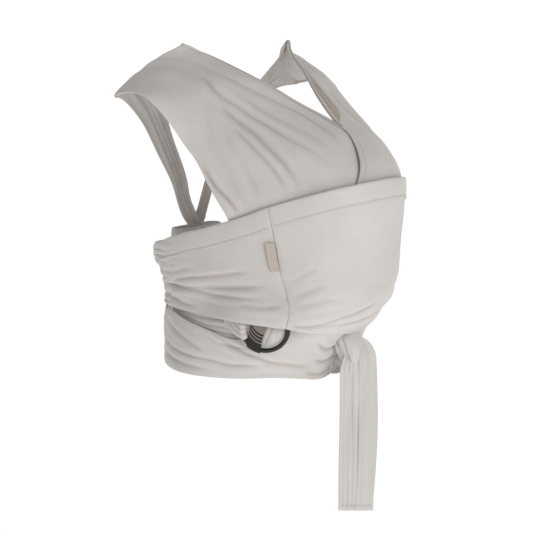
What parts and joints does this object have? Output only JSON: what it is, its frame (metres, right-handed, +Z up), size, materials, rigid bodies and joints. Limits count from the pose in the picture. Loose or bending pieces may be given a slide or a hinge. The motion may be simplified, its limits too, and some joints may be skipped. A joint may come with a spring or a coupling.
{
  "type": "soft baby carrier",
  "caption": "Wrap-style soft baby carrier in stretch jersey: crossed shoulder straps, front pouch panel, side bands, hip rings and waist ties knotted at the front.",
  "frame": {"origin": "on the torso's axis, at the middle height of the waist wraps", "axes": "+Z up, the wearer faces -Y, the wearer's left is +X"},
  "size_m": [0.428, 0.3792, 0.6975],
  "materials": {
    "jersey": "soft matt stretch jersey in warm light grey",
    "hem": "folded jersey with stitched edges",
    "lining": "matt jersey lining",
    "webbing": "woven taupe webbing with dark stripes",
    "ring": "glossy black",
    "label": "blank folded woven label"
  },
  "bodies": {
    "carrier": {"front_panel": "jersey", "front_panel_lining": "lining", "front_panel_casing": "hem", "side_band_right": "jersey", "side_band_left": "jersey", "side_casing_right": "hem", "side_casing_left": "hem", "waist_wrap_right": "jersey", "waist_wrap_left": "jersey", "shoulder_strap_right": "jersey", "shoulder_strap_left": "jersey", "neck_hem_right": "hem", "neck_hem_left": "hem", "arm_hem_right": "hem", "arm_hem_left": "hem", "back_strap_right": "jersey", "back_strap_left": "jersey", "back_cross_keeper": "jersey", "ring_anchor_right": "webbing", "ring_anchor_left": "webbing", "strap_tail_right": "jersey", "strap_tail_left": "jersey", "waist_knot": "jersey"},
    "ring_large_right": {"ring_large_right": "ring", "ring_webbing_right": "webbing"},
    "ring_small_right": {"ring_small_right": "ring"},
    "ring_large_left": {"ring_large_left": "ring", "ring_webbing_left": "webbing"},
    "ring_small_left": {"ring_small_left": "ring"},
    "wide_tail_upper": {"wide_tail_upper": "jersey"},
    "wide_tail_lower": {"wide_tail_lower": "jersey"},
    "narrow_tail_upper": {"narrow_tail_upper": "jersey"},
    "narrow_tail_lower": {"narrow_tail_lower": "jersey"},
    "label": {"label_tag": "label"}
  },
  "joints": [
    {"name": "ring_right_tip", "type": "hinge", "parent": "carrier", "child": "ring_large_right", "pos_m": [-0.13864, -0.11813, 0.09472], "axis": [-0.5545, 0.8322, 0], "range_deg": [0, 10]},
    {"name": "small_ring_right_tip", "type": "hinge", "parent": "carrier", "child": "ring_small_right", "pos_m": [-0.13316, -0.11447, 0.09518], "axis": [-0.5545, 0.8322, 0], "range_deg": [0, 5]},
    {"name": "ring_left_tip", "type": "hinge", "parent": "carrier", "child": "ring_large_left", "pos_m": [0.15639, -0.08563, 0.09472], "axis": [-0.3936, -0.9193, 0], "range_deg": [0, 10]},
    {"name": "small_ring_left_tip", "type": "hinge", "parent": "carrier", "child": "ring_small_left", "pos_m": [0.15034, -0.08304, 0.09518], "axis": [-0.3936, -0.9193, 0], "range_deg": [0, 5]},
    {"name": "wide_tail_swing", "type": "hinge", "parent": "carrier", "child": "wide_tail_upper", "pos_m": [0.031, -0.166, 0.004], "axis": [-1, 0, 0], "range_deg": [-6, 65]},
    {"name": "wide_tail_bend", "type": "hinge", "parent": "wide_tail_upper", "child": "wide_tail_lower", "pos_m": [0.031, -0.1685, -0.0972], "axis": [-1, 0, 0], "range_deg": [-45, 60]},
    {"name": "narrow_tail_swing", "type": "hinge", "parent": "carrier", "child": "narrow_tail_upper", "pos_m": [-0.014, -0.166, 0.004], "axis": [-1, 0, 0], "range_deg": [-6, 65]},
    {"name": "narrow_tail_bend", "type": "hinge", "parent": "narrow_tail_upper", "child": "narrow_tail_lower", "pos_m": [-0.014, -0.1685, -0.0972], "axis": [-1, 0, 0], "range_deg": [-45, 60]},
    {"name": "label_flip", "type": "hinge", "parent": "carrier", "child": "label", "pos_m": [-0.1367, -0.13745, 0.166], "axis": [-0.1448, 0.1254, 0.9815], "range_deg": [0, 110]}
  ],
  "couplings": [
    {"joint": "small_ring_right_tip", "follows": "ring_right_tip", "ratio": 0.5},
    {"joint": "small_ring_left_tip", "follows": "ring_left_tip", "ratio": 0.5}
  ]
}
